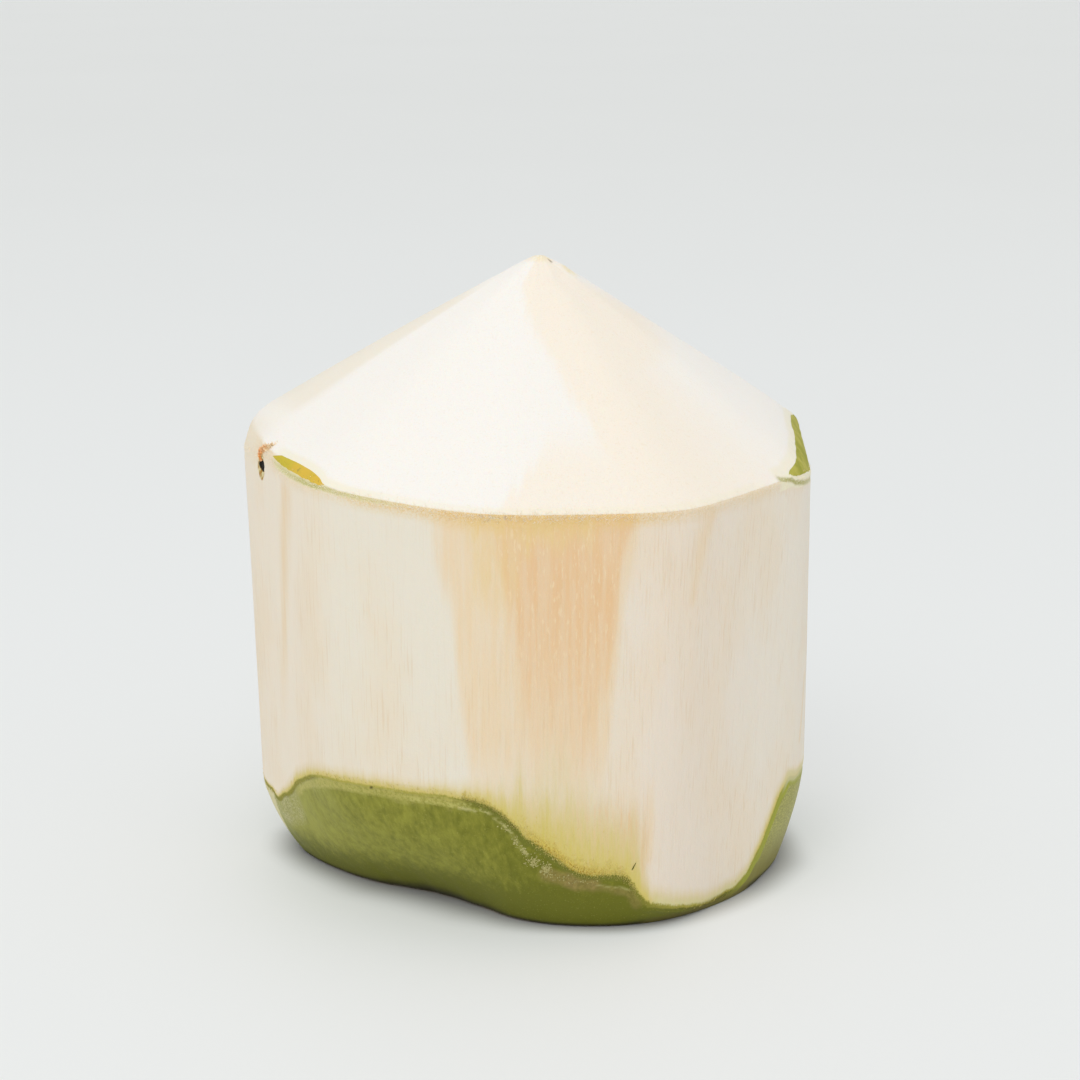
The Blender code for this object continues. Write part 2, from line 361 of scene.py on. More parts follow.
def wanderAt(azimuth, height):     # degrees by which a streaky edge wanders
    return 1.1 * patches(azimuth, height, 1.5, 0.03, 5) + 1.0 * patches(azimuth, height, 5, 0.02, 6)


# the skin's upper edge: the distance above the line where its colour ends, square to the line,
# with two sizes of patches added
def addEdgeFields(fields, azimuth, height, stretch):
    top = readTable(azimuth, huskShape["skinTop"], 0.7)
    top = top + 0.0006 - 0.0012 * window(azimuth, 192, 264, 5)
    top = top - 0.0016 * window(turnFrom(azimuth, 0), -14, 20, 5)
    top = top - 0.001 * readLine(azimuth, skinMarks["edgeDrop"])
    slope = np.gradient(top[0], np.radians(azimuth[0]) * 0.056)
    ragged = 0.00016 * patches(azimuth, height, 1.6, 0.004, 3)
    ragged = ragged + 0.00022 * patches(azimuth, height, 5, 0.02, 4)
    fields["aboveSkin"] = ((height - top) / np.sqrt(1 + slope**2) + ragged) * 1000
    for name in ("washWidth", "fringeDark", "stray"):
        fields[name] = readTable(azimuth, skinMarks[name])


# edges of the warm patches on the sides, as (height in mm, degrees from the front), and the lines of
# warm streaks, as (azimuth, height)
sideMarks = dict(
    darkLeft=((30, 0.5), (52, -3.2), (60, -4.6), (71, -6.2), (81, -9.2), (90, -10.4)),
    darkRight=((30, 9.6), (38, 10.8), (51, 12.2), (64, 14.4), (76, 16.6), (88, 18.6)),
    paleLeft=((36, -13.5), (56, -16.3), (68, -17.8), (80, -19.7), (90, -19.6)),
    leftStreak=((208, 0.088), (206.5, 0.080), (203, 0.063), (199, 0.044), (197, 0.030)),
    rightStreak=((306.5, 0.087), (304.8, 0.0825), (303, 0.070)),
    lowStreak=((293.5, 0.034), (293, 0.024), (292.2, 0.016)),
    rightEdge=((348, 0.044), (347, 0.036), (346, 0.030)),
)


# warm patches on the sides: each lies between lines whose azimuth turns with the height, or near a
# line, and fades downwards
def addSideFields(fields, azimuth, height, stretch):
    h = height * 1000
    fields["cone"] = smooth((stretch - 2.7) / 0.32) + 0 * azimuth
    fields["base"] = window(stretch, -0.1, 0.0, 0.012) + 0 * azimuth
    onSide = 1 - fields["cone"]
    bent = azimuth + wanderAt(azimuth, height)
    side = turnFrom(bent, 270)
    darkLeft, darkRight = readLine(h, sideMarks["darkLeft"]), readLine(h, sideMarks["darkRight"])
    paleLeft = readLine(h, sideMarks["paleLeft"])
    lower = patches(azimuth, height, 2.2, 0.05, 7)
    dark = smooth((side - darkLeft) / 2.4 + 0.4) * smooth((darkRight - side) / 1.4 + 0.5)
    fields["peachDark"] = onSide * dark * smooth((h - 24 - 7 * lower) / 48)
    pale = smooth((side - paleLeft) / 2.6 + 0.4) * smooth((darkRight + 2 - side) / 2.5 + 0.5)
    pale = pale * smooth((h - 20 - 6 * lower) / 24)
    gold = window(side, -13.5, 10.5, 3) * smooth((h - 80.5 - 3 * lower) / 6)
    gold = np.maximum(gold, 0.6 * window(side, -13.0, -6.5, 2.5) * smooth((h - 66) / 12))
    fields["gold"] = onSide * gold

    def nearness(name, reach):         # 1 on one of the lines, easing to 0 at a reach from it
        return smooth(1 - distanceToLine(bent, height, sideMarks[name]) / reach)

    streaks = nearness("leftStreak", 0.0038) * smooth((h - 26) / 40) + 0.7 * nearness("rightStreak", 0.0026)
    streaks = streaks + 0.8 * nearness("lowStreak", 0.0018) * smooth((36 - h) / 10)
    streaks = streaks + 0.8 * nearness("rightEdge", 0.0016)
    hidden = window(turnFrom(bent, 70), -9, 8, 3) * smooth((h - 30) / 30) * smooth((96 - h) / 12)
    hidden = hidden + window(turnFrom(bent, 135), -5, 5, 3) * smooth((h - 45) / 30)
    fields["peachPale"] = np.clip(onSide * (pale + streaks + 0.8 * hidden), 0, 1)
    lowWash = smooth((34 - h - 3 * lower) / 13) * smooth((bent - 262) / 6) * smooth((293.5 - bent) / 4)
    fields["lowWash"] = onSide * lowWash


# the cone's warm band and wedge: height in mm, and degrees from the front, width or softness
coneMarks = dict(
    bandLeft=((90, 20.5), (96, 18.8), (103, 14.2), (115, 6.0), (119, -3.0), (125, -14.0), (128, -28.0)),
    bandWidth=((96, 62), (112, 70), (120, 130)),
    bandSoftness=((100, 2.5), (118, 9.0)),
    wedgeLeft=((90, -12.0), (98, -4.0), (104, 1.5)),
)


# the cone: warm bands whose edge turns with the height, cream at the left edge, and ochre marks and a
# pale yellow point at the tip
def addConeFields(fields, azimuth, height, stretch):
    h = height * 1000
    wander = wanderAt(azimuth, height)
    bent = turnFrom(azimuth + 1.5 * wander, 270)
    bandLeft = readLine(h, coneMarks["bandLeft"])
    band = smooth((bent - bandLeft) / readLine(h, coneMarks["bandSoftness"]) + 0.3)
    band = band * smooth((bandLeft + readLine(h, coneMarks["bandWidth"]) - bent) / 45)
    wedge = smooth((bent - readLine(h, coneMarks["wedgeLeft"])) / 4)
    wedge = wedge * smooth((30 - bent) / 8) * smooth((106 - h) / 10)
    back = smooth(1 - np.abs(turnFrom(azimuth + 2 * wander, 95)) / 40)
    fields["conePeach"] = np.clip(fields["cone"] * (band + 0.9 * wedge + 0.6 * back), 0, 1)
    leftEdge = window(turnFrom(azimuth + 2 * wander, 176), -10, 10, 8)
    leftEdge = leftEdge * smooth((h - 98) / 6) * smooth((129 - h) / 6)
    corner = smooth(1 - np.abs(turnFrom(azimuth, 183)) / 14) * smooth((h - 88) / 3) * smooth((101 - h) / 4)
    fields["cream"] = np.clip(fields["cone"] * leftEdge + 0.8 * corner, 0, 1)

    smear = np.hypot(np.radians(turnFrom(azimuth, 357.9)) * 6.0, (h - 130.2) * 1.4)
    fields["tipSmear"] = smooth(1.4 - smear / 1.4) + 0.7 * smooth((h - 131.8) / 1.2)
    dotA = np.hypot(np.radians(turnFrom(azimuth, 338)) * 2.3, h - 132.4)
    dotB = np.hypot(np.radians(turnFrom(azimuth, 8.7)) * 8.0, h - 129.1)
    fields["tipDot"] = np.maximum(smooth(1.5 - dotA / 0.30), 0.6 * smooth(1.5 - dotB / 0.28))


# tables for the slivers of skin at the shoulder: azimuth (on the right, degrees from 0), and a
# height or width in millimetres or a share
sliverMarks = dict(
    yellowLift=((196, 1.5), (199, 1.2), (205, 1.0), (212, 1.0), (218, 0.85), (223.5, 0.6), (228, 0.3)),
    yellowTop=((196.3, 93.4), (199, 93.8), (203.4, 94.8), (206, 200)),
    greenLift=((-28, 1.3), (-24, 0.9), (-18, 0.9), (-10, 0.4)),
    lineLeft=((205, 0.35), (225, 0.2)),
    lineRight=((-29.5, 1.0), (-27, 0.2), (-24, -0.5), (-18, -1.0), (-10, -1.0), (0, -0.7), (20, -0.4)),
    lineWidth=((198, 0.25), (208, 0.5), (226, 0.5), (240, 0.3), (320, 0.4), (335, 0.6)),
    shareLeft=((198, 0), (203, 0.35), (212, 0.7), (216, 0.9), (222, 0.9), (228, 0.5), (236, 0.3), (246, 0)),
    shareRight=((-24, 0.95), (-14, 0.6)),
    fuzzDepth=((-22, 3.2), (-14, 4.6), (12, 4.6), (24, 3.2)),      # degrees from 268
)


# slivers of skin at the shoulder, between the side cut and the cone: the yellow one starts a little
# above the side cut, the green ones at it, with pale rind and a thin olive line beside them
def addSliverFields(fields, azimuth, height, stretch):
    h = height * 1000
    aboveSide = stretch > 1.5
    start, edge = crownStart(azimuth) * 1000, coneStart(azimuth) * 1000
    lift = readLine(azimuth, sliverMarks["yellowLift"])
    nibble = 0.12 * patches(azimuth, height, 0.8, 0.0007, 8)
    ends = smooth((azimuth - 196.3) / 0.8) * smooth((224.6 - azimuth) / 2.0)
    upper = np.minimum(edge, readLine(azimuth, sliverMarks["yellowTop"]))
    yellow = smooth((h - start - lift + nibble) / 0.25 + 0.5) * smooth((upper - h - 0.05) / 0.25 + 0.5)
    fields["mustard"] = ends * yellow
    away = turnFrom(azimuth, 0)
    hiddenEnds = smooth((azimuth - 86) / 3) * smooth((124 - azimuth) / 3)
    greenEnds = np.maximum(smooth((away + 27.5) / 1.0) * smooth((24 - away) / 4), hiddenEnds)
    greenLift = readLine(away, sliverMarks["greenLift"])
    green = smooth((h - start - greenLift + nibble) / 0.25 + 0.5) * smooth((edge + 0.4 - h) / 0.25 + 0.5)
    fields["greenSliver"] = greenEnds * green

    leftRind = smooth((azimuth - 199) / 5) * smooth((246 - azimuth) / 14)
    rightRind = np.maximum(smooth((away + 31) / 2) * smooth((25 - away) / 4), hiddenEnds)
    rindTop = edge + np.where(rightRind > leftRind, 1.7, 0.7)
    rindShare = np.maximum(np.maximum(leftRind, rightRind), 0.6 * window(azimuth, 236, 318, 10))
    fields["rindCone"] = rindShare * window(h, edge, rindTop, 0.6) * fields["cone"]
    fields["rindSide"] = leftRind * window(h, start - 0.2, start + lift, 0.4) * aboveSide
    fields["rindRight"] = rightRind * window(h, start - 1.4, start + 1.0, 0.4) * aboveSide

    # the olive line: how strong it is, its height above the side cut and its width
    share = readLine(azimuth, sliverMarks["shareLeft"])
    rightEnds = smooth((away + 30.5) / 1.5) * smooth((24 - away) / 4)
    share = share + readLine(away, sliverMarks["shareRight"]) * rightEnds + 0.6 * hiddenEnds
    leftLine, rightLine = readLine(azimuth, sliverMarks["lineLeft"]), readLine(away, sliverMarks["lineRight"])
    line = np.where(np.abs(away) < 40, rightLine, leftLine)
    width = readLine(azimuth, sliverMarks["lineWidth"])
    fields["rimLine"] = share * smooth(1.4 - np.abs(h - start - line - nibble) / width) * aboveSide
    deep = readLine(turnFrom(azimuth, 268), sliverMarks["fuzzDepth"])
    front = 0.45 + 0.55 * window(azimuth, 236, 290, 12)
    fields["fuzz"] = (1 - fields["cone"]) * front * smooth(1 - (start - h) / deep) * aboveSide


# the skin: its shade round the fruit, the olive patch on the right, bands at set distances below its
# edge, painted shade low down, the dark foot of dirt and painted shade, and the scab and fine lines as
# nearness to drawn lines
def addSkinFields(fields, azimuth, height, stretch):
    h = height * 1000
    d = fields["aboveSkin"]
    # painted shade in the lowest 13 mm, where the skin tucks in under the fruit
    lowPaintedShade = readLine(azimuth, skinMarks["lowPaintedShade"]) * smooth((13 - h) / 10)
    fields["skinShade"] = readTable(azimuth, skinMarks["skinShade"]) + lowPaintedShade
    fields["greyEnd"] = window(azimuth, 188, 200, 4) * smooth((d + 7.5) / 3)
    away = turnFrom(azimuth, 340)
    right = smooth((away + 19) / 5) * smooth((44 + 4 * wanderAt(azimuth, height) - away) / 22)
    fields["oliveEnd"] = right * smooth(-(d + 0.9) / 0.5)
    # painted shade: the olive patch darker in its lowest 13 mm
    fields["oliveLow"] = right * smooth((13 - h) / 10)
    fields["limeEdge"] = window(away, -17, 12, 4) * window(d, -1.5, -0.3, 0.35)
    fields["creamTop"] = window(turnFrom(azimuth, 349), -7, 12, 3) * window(d, -0.4, 1.2, 0.8)
    cutRight = readLine(h, skinMarks["cutRight"])
    fields["cutEnd"] = smooth((azimuth - 166) / 14) * smooth((cutRight - azimuth) / 0.7 + 1)
    fields["bevel"] = window(azimuth, 206, 251, 6) * window(d, -2.3, -0.3, 0.35)
    fields["oliveRim"] = window(azimuth, 191, 214, 4) * window(d, -0.7, 0.0, 0.3)
    # dirt and painted shade: the dark foot along the floor
    fields["foot"] = smooth(1 - (h - 0.2) / readTable(azimuth, skinMarks["foot"]))
    fields["sole"] = window(azimuth, 297, 328, 4)
    fields["stipple"] = window(azimuth, 271, 281, 5)
    lumpy = height + 0.0004 * patches(azimuth, height, 2, 0.002, 12)
    patch = distanceToLine(azimuth, lumpy, scabPatch)
    tail = distanceToLine(azimuth, lumpy, scabTail)
    fields["scab"] = np.maximum(smooth(1.6 - patch / 0.0014), 0.6 * smooth(1.5 - tail / 0.0008))
    fine = height + 0.0002 * patches(azimuth, height, 1.2, 0.002, 13)
    line = distanceToLine(azimuth, fine, scabLine)
    wave = distanceToLine(azimuth, fine, wavyLine)
    fields["scabRim"] = np.maximum(smooth(1.5 - line / 0.00026), 0.55 * smooth(1.5 - wave / 0.00022))
    inner = smooth(1.5 - distanceToLine(azimuth, fine, innerLine) / 0.00024)
    fields["innerLine"] = readLine(azimuth, skinMarks["innerShare"]) * inner
    speck = distanceToLine(azimuth, height, ((232.9, 0.0299), (233.3, 0.0294)))
    fields["tick"] = smooth(1.5 - speck / 0.00028)


# everything the material reads, as numbers on the surface's points. Distances are in millimetres
# and the rest are shares from 0 to 1.
def buildFields(azimuth, height, stretch):
    fields = {}
    for add in (addEdgeFields, addSideFields, addConeFields, addSliverFields, addSkinFields):
        add(fields, azimuth, height, stretch)
    fields["hole"], fields["slot"] = splitShapes(azimuth, height)
    return fields


# moves points along their normals: broad waves on the cuts, lumps on the skin, a lip where the skin
# begins, crusty scab, rough tip and the hollow of the split
def relief(azimuth, height, stretch, fields):
    def lumps(degrees, rise, seed):
        return patches(azimuth, height, degrees, rise, seed)

    side = surface["sideWave"] * (lumps(13, 0.055, 21) + 0.35 * lumps(4.2, 0.022, 22))
    fibre = 0.00003 * lumps(1.3, 0.012, 23)
    cone = surface["coneWave"] * (lumps(24, 0.013, 24) + 0.3 * lumps(9, 0.005, 25))
    skin = surface["skinLump"] * (lumps(8, 0.009, 26) + 0.3 * lumps(2.4, 0.030, 27))
    d = fields["aboveSkin"]
    onSkin = smooth(-(d + 0.8) / 1.5) * (1 - fields["base"])
    onCone = fields["cone"]
    lift = (side + fibre) * (1 - onCone) * (1 - onSkin) + cone * onCone + skin * onSkin
    lip = 0.00012 * np.exp(-((d + 1.7) / 0.5) ** 2) - 0.00010 * window(d, -1.0, -0.2, 0.4)
    lift = lift + lip * (1 - onCone) * (0.4 + 0.6 * fields["fringeDark"])
    crust = 0.5 + 0.5 * lumps(1.1, 0.0011, 28)
    lift = lift + 0.00012 * fields["scab"] * crust + 0.00020 * fields["scabRim"] * (0.4 + crust)
    nearTip = smooth((height - 0.1262) / 0.003)
    roughSide = 0.3 + 0.7 * window(turnFrom(azimuth, 320), -60, 45, 30)
    lift = lift + 0.00026 * nearTip * roughSide * lumps(26, 0.0011, 29)
    edge = window(stretch, 1.98, 3.01, 0.03)
    lift = lift + 0.00008 * edge * lumps(1.1, 0.0009, 30) - 0.00012 * fields["rimLine"]
    still = smooth(height / 0.0012)          # the foot's edge stays on the floor
    return (lift - surface["inset"]) * still - split["depth"] * (0.75 * fields["hole"] + 0.4 * fields["slot"])


# an object at the origin from points and faces, with numbers on its points for its material
def makePiece(name, vertices, faces, numbers):
    mesh = bpy.data.meshes.new(name)
    mesh.from_pydata(vertices.reshape(-1, 3).tolist(), [], faces)
    for field, values in numbers.items():
        attribute = mesh.attributes.new(field, "FLOAT", "POINT")
        attribute.data.foreach_set("value", values.astype(np.float32))
    made = bpy.data.objects.new(name, mesh)
    bpy.context.scene.collection.objects.link(made)
    return made


# one closed mesh from a grid of rows and columns with a point at each end
def closedGrid(name, points, bottom, top, fields):
    rows, columns, _ = points.shape
    vertices = np.concatenate([points.reshape(-1, 3), [bottom], [top]])
    index = np.arange(rows * columns).reshape(rows, columns)
    beside = np.roll(index, -1, axis=1)
    quads = np.stack([index[:-1], beside[:-1], beside[1:], index[1:]], axis=-1).reshape(-1, 4)
    low, high = rows * columns, rows * columns + 1
    lowFan = np.stack([beside[0], index[0], np.full(columns, low)], axis=-1)
    highFan = np.stack([index[-1], beside[-1], np.full(columns, high)], axis=-1)
    numbers = {}
    for field, values in fields.items():
        ends = [values[0].mean(), values[-1].mean()]
        numbers[field] = np.concatenate([values.reshape(-1), ends])
    made = makePiece(name, vertices, quads.tolist() + lowFan.tolist() + highFan.tolist(), numbers)
    made.data.shade_smooth()
    return made


# points on the finished surface for other pieces to stand on: bilinear reading of the grid
class Ground:
    def __init__(self, azimuth, points, normals):
        self.azimuth, self.points, self.normals = azimuth, points, normals

    def at(self, azimuth, height):
        column = np.searchsorted(self.azimuth, azimuth % 360, side="right") - 1
        nextColumn = (column + 1) % len(self.azimuth)
        gap = (self.azimuth[nextColumn] - self.azimuth[column]) % 360
        a = ((azimuth % 360 - self.azimuth[column]) / gap)[:, None]
        rising = self.points[6:, :, 2]
        row = 6 + np.clip((rising[:, column] < height).sum(axis=0) - 1, 0, len(rising) - 2)
        lower, upper = self.points[row, column], self.points[row + 1, column]
        b = np.clip((height - lower[:, 2]) / np.maximum(upper[:, 2] - lower[:, 2], 1e-9), 0, 1)[:, None]
        near = lower * (1 - b) + upper * b
        far = self.points[row, nextColumn] * (1 - b) + self.points[row + 1, nextColumn] * b
        return near * (1 - a) + far * a, self.normals[row, column]


def buildCoconut():
    azimuth = columnAzimuths()
    reach, height, stretch = surfaceRows(azimuth)
    easeEdges(azimuth, reach, height, stretch)
    azimuths = azimuth + 0 * height
    stretches = stretch[:, None] + 0 * height
    fields = buildFields(azimuths, height, stretches)
    turn = np.radians(azimuths)
    points = np.stack([reach * np.cos(turn), reach * np.sin(turn), height], axis=-1)
    normals = gridNormals(points)
    points += relief(azimuths, height, stretches, fields)[..., None] * normals
    points = np.clip(points, np.array(cadLow) + 2e-5, np.array(cadHigh) - 2e-5)
    points[..., 2] -= 2e-5 * (stretches <= 0)
    tip = points[-1].mean(axis=0)
    tip[2] = min(tip[2] + 0.00025, huskShape["tipHeight"])
    coconut = closedGrid("coconutHusk", points, (0, 0, 0), tip, fields)
    return coconut, Ground(azimuth, points, gridNormals(points))


# Scattered fibres and crumbs

# thin tapering fibres as one mesh: each is two rings of three points and a tip, carried from its
# root along a direction that bends towards a second one; tone is a number from 0 to 1 for its colour
def fibreMesh(name, roots, leans, bends, lengths, widths, tones):
    count = len(roots)
    leans = leans / np.linalg.norm(leans, axis=1, keepdims=True)
    bends = bends / np.linalg.norm(bends, axis=1, keepdims=True)
    acrossA = np.cross(leans, np.array([0.31, 0.53, 0.79]))
    acrossA /= np.linalg.norm(acrossA, axis=1, keepdims=True)
    acrossB = np.cross(leans, acrossA)
    middle = roots + leans * lengths[:, None] * 0.55
    tips = middle + bends * lengths[:, None] * 0.45
    rings = []
    for centre, width in ((roots, widths), (middle, widths * 0.8)):
        for angle in (0, 2 * np.pi / 3, 4 * np.pi / 3):
            offset = acrossA * math.cos(angle) + acrossB * math.sin(angle)
            rings.append(centre + offset * width[:, None])
    vertices = np.stack(rings + [tips], axis=1)
    vertices = np.clip(vertices, np.array(cadLow) + 1e-5, np.array(cadHigh) - 1e-5)
    pattern = np.array([(0, 1, 4), (0, 4, 3), (1, 2, 5), (1, 5, 4), (2, 0, 3), (2, 3, 5),
                        (3, 4, 6), (4, 5, 6), (5, 3, 6), (0, 2, 1)])
    faces = (pattern[None] + 7 * np.arange(count)[:, None, None]).reshape(-1, 3)
    return makePiece(name, vertices, faces.tolist(), {"tone": np.repeat(tones, 7)})


def tangents(azimuth):             # unit vectors counter-clockwise round the fruit
    turn = np.radians(azimuth)
    return np.stack([-np.sin(turn), np.cos(turn), 0 * turn], axis=1)


shoulderFuzz = dict(count=2400, seed=11, length=(0.00025, 0.0008), width=(0.00002, 0.00005))


# golden fibre ends along the shoulder: rooted just under the edge, leaning out, up and to either side
def buildShoulderFuzz(ground):
    random = np.random.default_rng(shoulderFuzz["seed"])
    count = shoulderFuzz["count"]
    front = random.normal(264, 24, count)
    azimuth = np.where(random.uniform(size=count) < 0.6, front, random.uniform(0, 360, count)) % 360
    height = crownStart(azimuth) + random.normal(0.0001, 0.0005, count)
    roots, normals = ground.at(azimuth, height)
    up = np.array([0, 0, 1.0])
    leans = normals * random.uniform(0.2, 0.8, (count, 1)) + up * random.uniform(-0.3, 0.9, (count, 1))
    leans = leans + tangents(azimuth) * random.normal(0, 0.5, (count, 1))
    bends = leans + up * random.normal(0, 0.5, (count, 1))
    bends = bends + tangents(azimuth) * random.normal(0, 0.5, (count, 1))
    lengths = random.uniform(*shoulderFuzz["length"], count) * (0.7 + 0.5 * window(azimuth, 230, 295, 10))
    widths = random.uniform(*shoulderFuzz["width"], count)
    return fibreMesh("shoulderFuzz", roots, leans, bends, lengths, widths, random.uniform(0.55, 1, count))


fringeFuzz = dict(count=2600, seed=12, length=(0.0002, 0.0007), width=(0.00003, 0.00006))


# short fibres where the knife ran out through the skin: rooted along its edge and combed upwards
def buildFringeFuzz(ground):
    random = np.random.default_rng(fringeFuzz["seed"])
    count = fringeFuzz["count"]
    inFront = random.uniform(size=count) < 0.7
    azimuth = np.where(inFront, random.uniform(254, 291, count), random.uniform(30, 335, count))
    above = random.normal(0.0001, 0.0005, count)
    above = above + 0.0012 * random.exponential(1, count) * window(azimuth, 268, 287, 4)
    height = np.maximum(skinTopHeight(azimuth) + above - 0.0008 * window(azimuth, 192, 263, 4), 0.0012)
    roots, normals = ground.at(azimuth, height)
    up = np.array([0, 0, 1.0])
    leans = normals * random.uniform(0.15, 0.6, (count, 1)) + up * random.uniform(0.4, 1.2, (count, 1))
    leans = leans + tangents(azimuth) * random.normal(0, 0.3, (count, 1))
    bends = leans + tangents(azimuth) * random.normal(0, 0.4, (count, 1)) - normals * 0.2
    lengths = random.uniform(*fringeFuzz["length"], count)
    widths = random.uniform(*fringeFuzz["width"], count)
    tones = np.clip(0.62 + above / 0.002 + random.normal(0, 0.15, count), 0.5, 1)
    # three dark fibres stand beside the step in the skin
    darkAzimuth, darkHeight = np.array([289.9, 290.15, 290.5]), np.array([0.0142, 0.0147, 0.0151])
    darkRoots, darkNormals = ground.at(darkAzimuth, darkHeight)
    darkLeans = up + tangents(darkAzimuth) * 0.45 + darkNormals * 0.12
    roots = np.concatenate([roots, darkRoots])
    leans = np.concatenate([leans, darkLeans])
    bends = np.concatenate([bends, darkLeans])
    lengths = np.append(lengths, (0.0014, 0.0010, 0.0008))
    widths = np.append(widths, (0.00011, 0.00009, 0.00008))
    tones = np.append(tones, (-0.6, -0.6, -0.6))
    return fibreMesh("fringeFuzz", roots, leans, bends, lengths, widths, tones)


splitFibres = dict(
    count=420,
    seed=14,
    length=(0.0005, 0.0014),
    width=(0.00007, 0.00015),
    shares=(0, 0.3, 0.5, 0.7, 1),  # along the line of roots, whose azimuth and height follow
    azimuths=(191.9, 192.3, 192.9, 195.2, 197.8),
    heights=(0.0917, 0.0929, 0.0938, 0.0946, 0.0957),
)


# torn orange fibres: a tuft rises from the upper end of the split and bends over the shoulder, and a
# few line the split's left side
def buildSplitFibres(ground):
    random = np.random.default_rng(splitFibres["seed"])
    count = splitFibres["count"]
    along = random.uniform(0, 1, count)
    shares = splitFibres["shares"]
    azimuth = np.interp(along, shares, splitFibres["azimuths"]) + random.normal(0, 0.30, count)
    height = np.interp(along, shares, splitFibres["heights"]) + random.normal(0, 0.00030, count)
    roots, normals = ground.at(azimuth, height)
    sweep = tangents(azimuth) * random.uniform(0.1, 1.0, (count, 1)) * along[:, None]
    up = np.array([0, 0, 1.0])
    leans = normals * random.uniform(0.2, 0.6, (count, 1)) + sweep
    leans = leans + up * random.uniform(-0.2, 0.7, (count, 1))
    bends = leans + sweep
    lengths = random.uniform(*splitFibres["length"], count) * (0.55 + 0.45 * along)
    widths = random.uniform(*splitFibres["width"], count)
    tones = np.clip(along + random.normal(0, 0.25, count), 0, 1)
    return fibreMesh("splitFibres", roots, leans, bends, lengths, widths, tones)


# crumbs in clusters: azimuth, height, spread of each, how many, and their tone
crumbSpots = dict(
    seed=16,
    size=(0.00007, 0.00022),
    clusters=((268.5, 0.0171, 0.75, 0.0008, 110, 0.8), (271.3, 0.0153, 0.60, 0.0010, 110, 0.75),
              (274.8, 0.0133, 1.6, 0.0005, 30, 0.6), (265.0, 0.0217, 0.35, 0.0008, 40, 0.9),
              (266.7, 0.0196, 0.35, 0.0007, 40, 0.9), (263.2, 0.0247, 0.60, 0.0005, 24, 0.9),
              (279.0, 0.0124, 1.8, 0.0003, 16, 0.6)),
)


# pale crumbs of crust: flattened eight-sided grains set in clusters over the scab
def buildCrumbs(ground):
    random = np.random.default_rng(crumbSpots["seed"])
    spots = np.array(crumbSpots["clusters"])
    spot = np.repeat(np.arange(len(spots)), spots[:, 4].astype(int))
    azimuth = spots[spot, 0] + random.normal(0, 1, len(spot)) * spots[spot, 2]
    height = spots[spot, 1] + random.normal(0, 1, len(spot)) * spots[spot, 3]
    size = random.uniform(*crumbSpots["size"], len(spot))
    tone = spots[spot, 5] + random.normal(0, 0.15, len(spot))
    centres, normals = ground.at(azimuth, height)
    around = tangents(azimuth)
    upward = np.cross(normals, around)
    corners = []
    for angle in np.arange(4) * np.pi / 2:
        stretchOut = random.uniform(0.7, 1.3, (len(azimuth), 1)) * size[:, None]
        corners.append(centres + (around * math.cos(angle) + upward * math.sin(angle)) * stretchOut)
    peak = centres + normals * size[:, None] * random.uniform(0.4, 0.9, (len(azimuth), 1))
    pit = centres - normals * size[:, None] * 0.5
    vertices = np.stack(corners + [peak, pit], axis=1)
    vertices = np.clip(vertices, np.array(cadLow) + 1e-5, np.array(cadHigh) - 1e-5)
    pattern = np.array([(0, 1, 4), (1, 2, 4), (2, 3, 4), (3, 0, 4),
                        (1, 0, 5), (2, 1, 5), (3, 2, 5), (0, 3, 5)])
    faces = (pattern[None] + 6 * np.arange(len(azimuth))[:, None, None]).reshape(-1, 3)
    return makePiece("crustCrumbs", vertices, faces.tolist(), {"tone": np.repeat(tone, 6)})


# Materials

def paint(red, green, blue):       # a colour given as 0 to 255 on screen, turned into light values
    screen = np.array([red, green, blue]) / 255
    light = np.where(screen <= 0.04045, screen / 12.92, ((screen + 0.055) / 1.055) ** 2.4)
    return (*light.tolist(), 1)


# a short hand for building node trees: sockets in, sockets out
class Bench:
    def __init__(self, name):
        self.material = bpy.data.materials.new(name)
        self.material.use_nodes = True
        self.tree = self.material.node_tree
        self.shader = self.tree.nodes["Principled BSDF"]
        self.place = self.add("ShaderNodeTexCoord").outputs["Object"]

    def add(self, kind, **settings):
        node = self.tree.nodes.new(kind)
        for key, value in settings.items():
            setattr(node, key, value)
        return node

    def put(self, socket, value):
        if isinstance(value, bpy.types.NodeSocket):
            self.tree.links.new(value, socket)
        else:
            socket.default_value = value

    def field(self, name):
        return self.add("ShaderNodeAttribute", attribute_name=name).outputs["Fac"]

    def noise(self, scale, stretch=(1, 1, 1), detail=2.0, roughness=0.5, shift=(0, 0, 0)):
        mapping = self.add("ShaderNodeMapping")
        self.put(mapping.inputs["Vector"], self.place)
        mapping.inputs["Scale"].default_value = stretch
        mapping.inputs["Location"].default_value = shift
        node = self.add("ShaderNodeTexNoise")
        self.put(node.inputs["Vector"], mapping.outputs["Vector"])
        node.inputs["Scale"].default_value = scale
        node.inputs["Detail"].default_value = detail
        node.inputs["Roughness"].default_value = roughness
        return node.outputs["Fac"]

    def math(self, operation, first, second=0.0):
        node = self.add("ShaderNodeMath", operation=operation)
        self.put(node.inputs[0], first)
        self.put(node.inputs[1], second)
        return node.outputs[0]

    def between(self, value, low, high, atLow=0.0, atHigh=1.0):    # eased from one number to another
        node = self.add("ShaderNodeMapRange", interpolation_type="SMOOTHSTEP")
        for socket, given in zip(node.inputs[:5], (value, low, high, atLow, atHigh)):
            self.put(socket, given)
        return node.outputs["Result"]

    def mix(self, share, first, second):
        node = self.add("ShaderNodeMix", data_type="RGBA")
        self.put(node.inputs[0], share)
        self.put(node.inputs[6], first)
        self.put(node.inputs[7], second)
        return node.outputs[2]

    def bump(self, height, strength, distance):
        node = self.add("ShaderNodeBump")
        node.inputs["Strength"].default_value = strength
        node.inputs["Distance"].default_value = distance
        self.put(node.inputs["Height"], height)
        self.put(self.shader.inputs["Normal"], node.outputs["Normal"])


